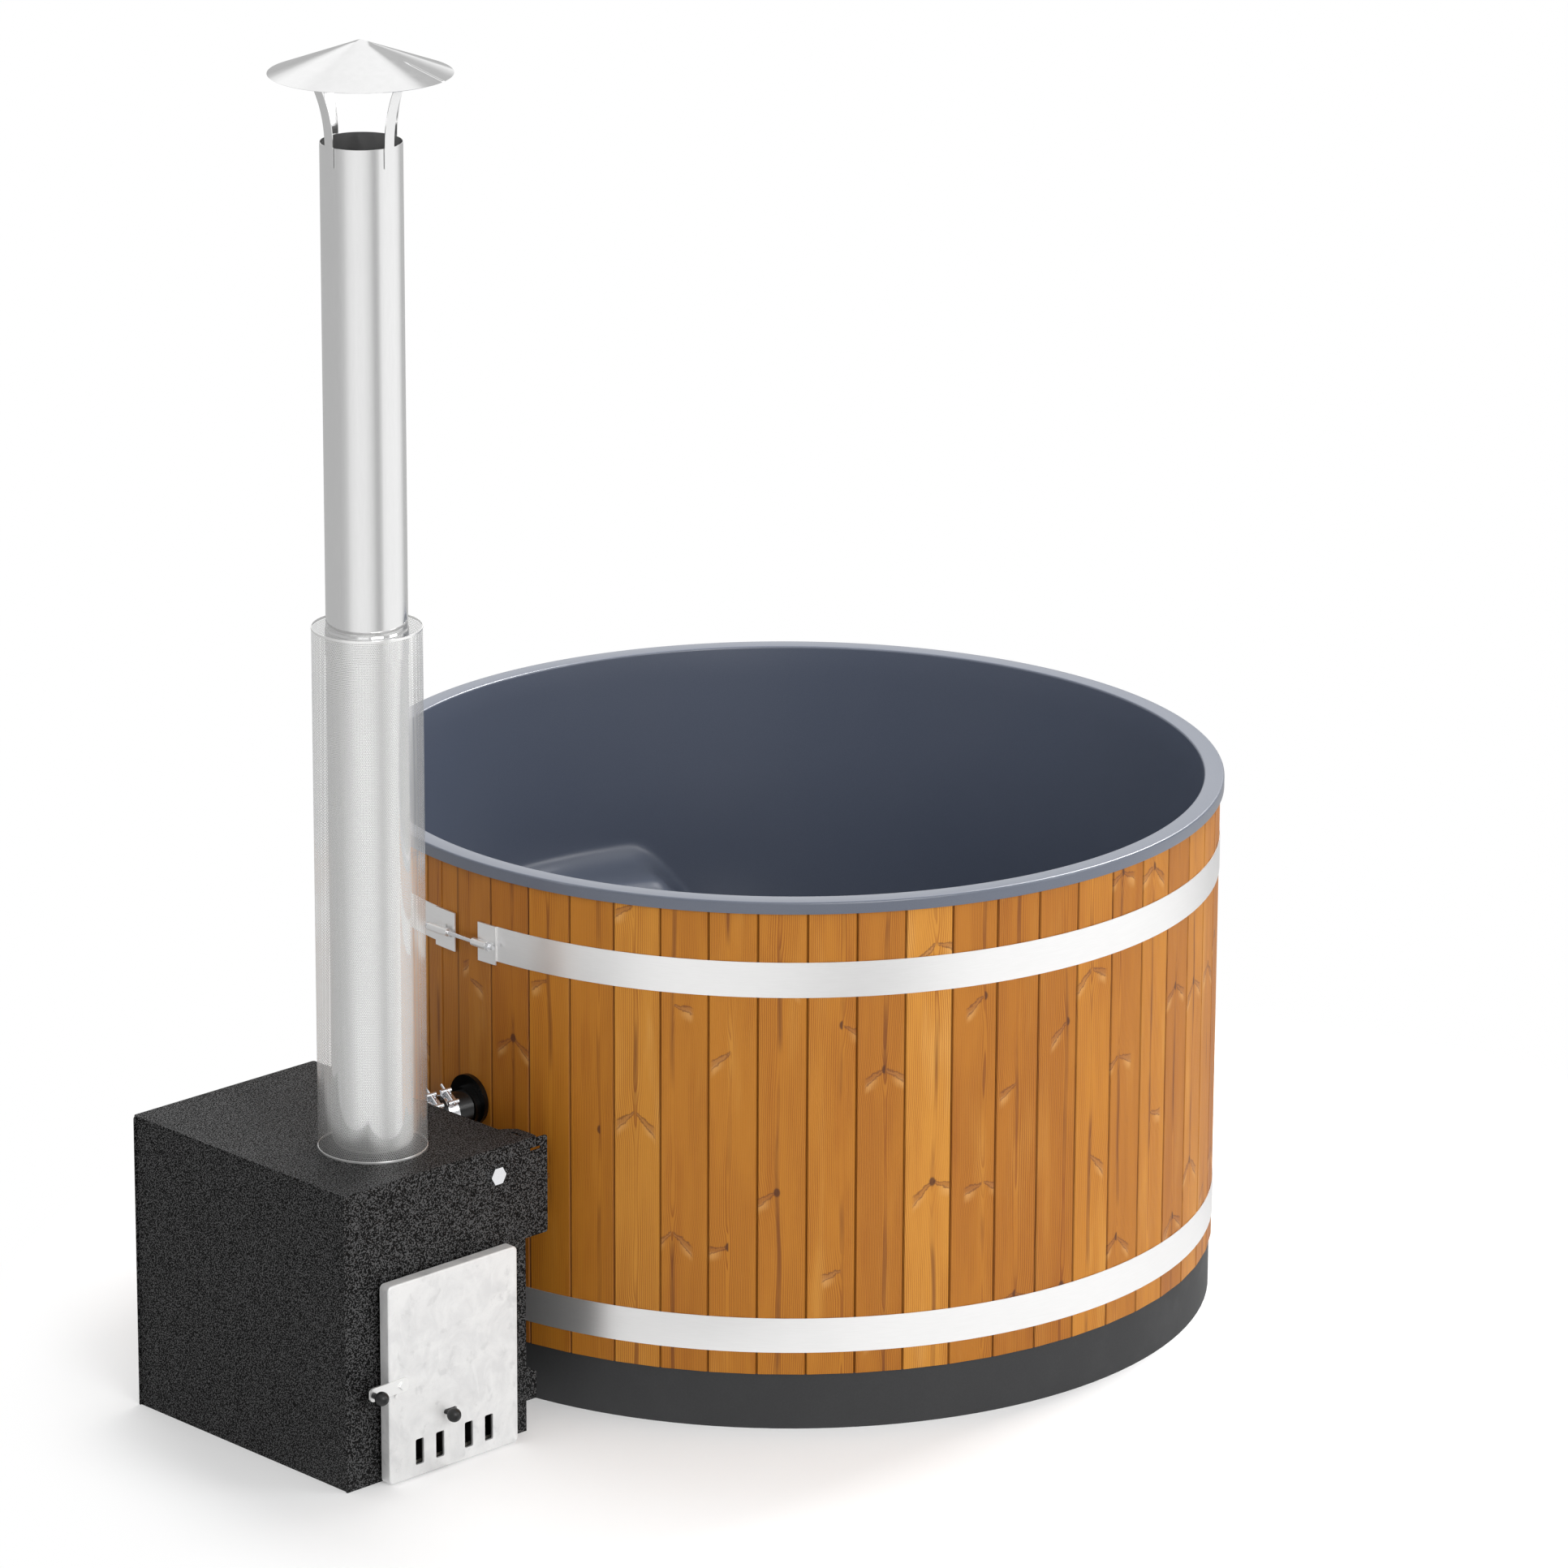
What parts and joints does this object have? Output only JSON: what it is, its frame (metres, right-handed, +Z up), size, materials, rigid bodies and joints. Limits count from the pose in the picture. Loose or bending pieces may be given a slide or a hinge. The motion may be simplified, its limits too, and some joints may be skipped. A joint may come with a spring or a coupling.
{
  "type": "wooden hot tub",
  "caption": "Round wooden hot tub with moulded liner and steel bands, joined by hoses to a wood-fired heater with fire door, flue, guard sleeve and rain cap.",
  "frame": {"origin": "on the ground under the middle of the tub", "axes": "+Z up, +X from the heater to the tub, the fire door faces -Y"},
  "size_m": [2.133, 1.6, 2.533],
  "materials": {
    "liner_acrylic": "moulded acrylic, satin with fine speckle",
    "wood_boards": "thermally treated pine boards, oiled",
    "base_plastic": "dark moulded base",
    "joist_timber": "rough sawn timber",
    "steel_band": "satin stainless band",
    "steel_zinc": "bright zinc plated",
    "rubber_black": "black, smooth",
    "steel_pipe": "satin stainless",
    "plastic_black": "black",
    "plastic_grey": "grey pipe",
    "steel_black": "black hammered stove paint",
    "steel_sooty": "sooty steel",
    "iron_grate": "cast",
    "rope_seal": "woven fibre rope",
    "door_cast": "pale mottled cast finish",
    "steel_latch": "satin",
    "knob_black": "polished black",
    "steel_dark": "dark heat-worn steel",
    "steel_flue": "satin stainless pipe",
    "steel_guard": "finely perforated stainless sheet",
    "steel_cap": "satin stainless sheet"
  },
  "bodies": {
    "root": {"liner": "liner_acrylic", "wall_staves": "wood_boards", "port_stave": "wood_boards", "base_pan": "base_plastic", "floor_joists": "joist_timber", "upper_band": "steel_band", "lower_band": "steel_band", "band_lugs": "steel_band", "tension_rods": "steel_zinc", "tension_nuts": "steel_zinc", "wall_flanges": "rubber_black", "return_fitting": "steel_pipe", "suction_fitting": "steel_pipe", "hose_upper": "rubber_black", "hose_lower": "rubber_black", "hose_clamps": "steel_zinc", "water_stubs": "steel_black", "drain_fitting": "steel_pipe", "drain_pipe": "plastic_grey", "front_plate": "steel_black", "back_plate": "steel_black", "left_side_plate": "steel_black", "right_side_plate": "steel_black", "top_plate": "steel_black", "bottom_plate": "steel_black", "firebox": "steel_sooty", "grate": "iron_grate", "port_plug": "steel_zinc", "door_frame": "steel_black", "door_seal": "rope_seal", "hinge_brackets": "steel_black", "latch_keeper": "steel_black", "flue_collar": "steel_sooty", "flue_pipe_lower": "steel_flue", "flue_pipe_upper": "steel_flue", "guard_sleeve": "steel_guard"},
    "door": {"door": "door_cast", "hinge_pins": "steel_zinc", "latch_pivot": "steel_latch", "latch_stop": "steel_latch", "damper_guides": "steel_dark"},
    "latch": {"latch_bar": "steel_latch", "latch_knob": "knob_black"},
    "damper": {"damper_plate": "steel_dark", "damper_knob": "knob_black"},
    "cap": {"rain_cap": "steel_cap", "cap_legs": "steel_flue"},
    "plug": {"drain_plug": "plastic_black"}
  },
  "joints": [
    {"name": "door_hinge", "type": "hinge", "parent": "root", "child": "door", "pos_m": [-0.9478, -0.277, 0.19], "axis": [0, 0, 1], "range_deg": [0, 100]},
    {"name": "latch_turn", "type": "hinge", "parent": "door", "child": "latch", "pos_m": [-1.2153, -0.2921, 0.1855], "axis": [0, 1, 0], "range_deg": [0, 70]},
    {"name": "damper_slide", "type": "slide", "parent": "door", "child": "damper", "axis": [1, 0, 0], "range_m": [0, 0.0215]},
    {"name": "cap_lift", "type": "slide", "parent": "root", "child": "cap", "axis": [0, 0, 1], "range_m": [0, 0.5]},
    {"name": "drain_plug_lift", "type": "slide", "parent": "root", "child": "plug", "axis": [0, 0, 1], "range_m": [0, 0.15]}
  ]
}
